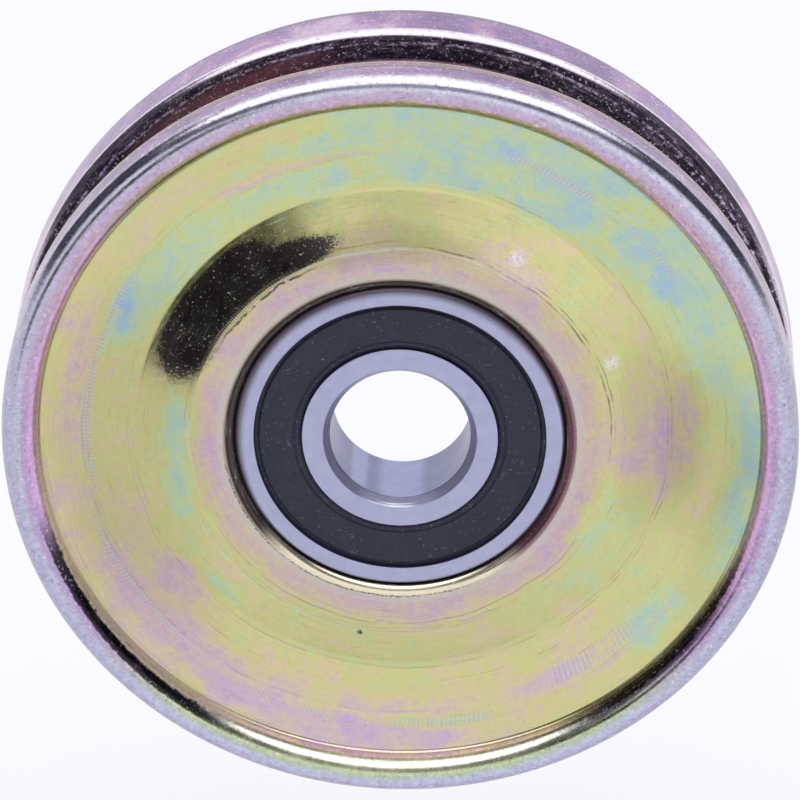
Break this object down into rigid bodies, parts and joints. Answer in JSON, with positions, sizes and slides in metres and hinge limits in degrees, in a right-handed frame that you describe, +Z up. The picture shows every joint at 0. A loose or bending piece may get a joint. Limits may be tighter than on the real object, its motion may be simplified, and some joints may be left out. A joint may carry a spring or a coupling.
{
  "type": "belt idler pulley",
  "caption": "Grooved steel belt idler pulley with dished discs and rolled rims, pressed onto a sealed ball bearing that takes the mounting bolt.",
  "frame": {"origin": "centre of the bearing's bore, halfway along the bearing", "axes": "+Y along the pulley axis away from the open face of the hub, +Z up; the front face looks towards -Y"},
  "size_m": [0.096, 0.0228, 0.096],
  "materials": {
    "zinc": "glossy iridescent yellow zinc plate",
    "zinc_rear": "glossy iridescent yellow zinc plate",
    "zinc_floor": "glossy iridescent yellow zinc plate",
    "bearing_outer_steel": "ground",
    "bearing_inner_steel": "ground",
    "ball_steel": "polished",
    "cage_steel": "pressed",
    "insert_steel": "pressed",
    "seal_rubber": "satin moulded"
  },
  "bodies": {
    "inner_race": {"inner_ring": "bearing_inner_steel"},
    "pulley": {"front_shell": "zinc", "rear_shell": "zinc_rear", "groove_ring": "zinc_floor", "outer_ring": "bearing_outer_steel", "front_seal_rubber": "seal_rubber", "front_seal_insert": "insert_steel", "rear_seal_rubber": "seal_rubber", "rear_seal_insert": "insert_steel"},
    "cage": {"cage_front": "cage_steel", "cage_rear": "cage_steel", "cage_rivets": "cage_steel"},
    "ball_body_1": {"ball_1": "ball_steel"},
    "ball_body_2": {"ball_2": "ball_steel"},
    "ball_body_3": {"ball_3": "ball_steel"},
    "ball_body_4": {"ball_4": "ball_steel"},
    "ball_body_5": {"ball_5": "ball_steel"},
    "ball_body_6": {"ball_6": "ball_steel"},
    "ball_body_7": {"ball_7": "ball_steel"},
    "ball_body_8": {"ball_8": "ball_steel"}
  },
  "joints": [
    {"name": "pulley_spin", "type": "hinge", "parent": "inner_race", "child": "pulley", "pos_m": [0, 0, 0], "axis": [0, 1, 0], "continuous": true},
    {"name": "cage_spin", "type": "hinge", "parent": "inner_race", "child": "cage", "pos_m": [0, 0, 0], "axis": [0, 1, 0], "continuous": true},
    {"name": "ball_1_spin", "type": "hinge", "parent": "cage", "child": "ball_body_1", "pos_m": [0, 0, 0.01425], "axis": [0, 1, 0], "continuous": true},
    {"name": "ball_2_spin", "type": "hinge", "parent": "cage", "child": "ball_body_2", "pos_m": [-0.01008, 0, 0.01008], "axis": [0, 1, 0], "continuous": true},
    {"name": "ball_3_spin", "type": "hinge", "parent": "cage", "child": "ball_body_3", "pos_m": [-0.01425, 0, 0], "axis": [0, 1, 0], "continuous": true},
    {"name": "ball_4_spin", "type": "hinge", "parent": "cage", "child": "ball_body_4", "pos_m": [-0.01008, 0, -0.01008], "axis": [0, 1, 0], "continuous": true},
    {"name": "ball_5_spin", "type": "hinge", "parent": "cage", "child": "ball_body_5", "pos_m": [0, 0, -0.01425], "axis": [0, 1, 0], "continuous": true},
    {"name": "ball_6_spin", "type": "hinge", "parent": "cage", "child": "ball_body_6", "pos_m": [0.01008, 0, -0.01008], "axis": [0, 1, 0], "continuous": true},
    {"name": "ball_7_spin", "type": "hinge", "parent": "cage", "child": "ball_body_7", "pos_m": [0.01425, 0, 0], "axis": [0, 1, 0], "continuous": true},
    {"name": "ball_8_spin", "type": "hinge", "parent": "cage", "child": "ball_body_8", "pos_m": [0.01008, 0, 0.01008], "axis": [0, 1, 0], "continuous": true}
  ],
  "couplings": [
    {"joint": "cage_spin", "follows": "pulley_spin", "ratio": 0.61837},
    {"joint": "ball_1_spin", "follows": "pulley_spin", "ratio": 1.9937},
    {"joint": "ball_2_spin", "follows": "pulley_spin", "ratio": 1.9937},
    {"joint": "ball_3_spin", "follows": "pulley_spin", "ratio": 1.9937},
    {"joint": "ball_4_spin", "follows": "pulley_spin", "ratio": 1.9937},
    {"joint": "ball_5_spin", "follows": "pulley_spin", "ratio": 1.9937},
    {"joint": "ball_6_spin", "follows": "pulley_spin", "ratio": 1.9937},
    {"joint": "ball_7_spin", "follows": "pulley_spin", "ratio": 1.9937},
    {"joint": "ball_8_spin", "follows": "pulley_spin", "ratio": 1.9937}
  ]
}
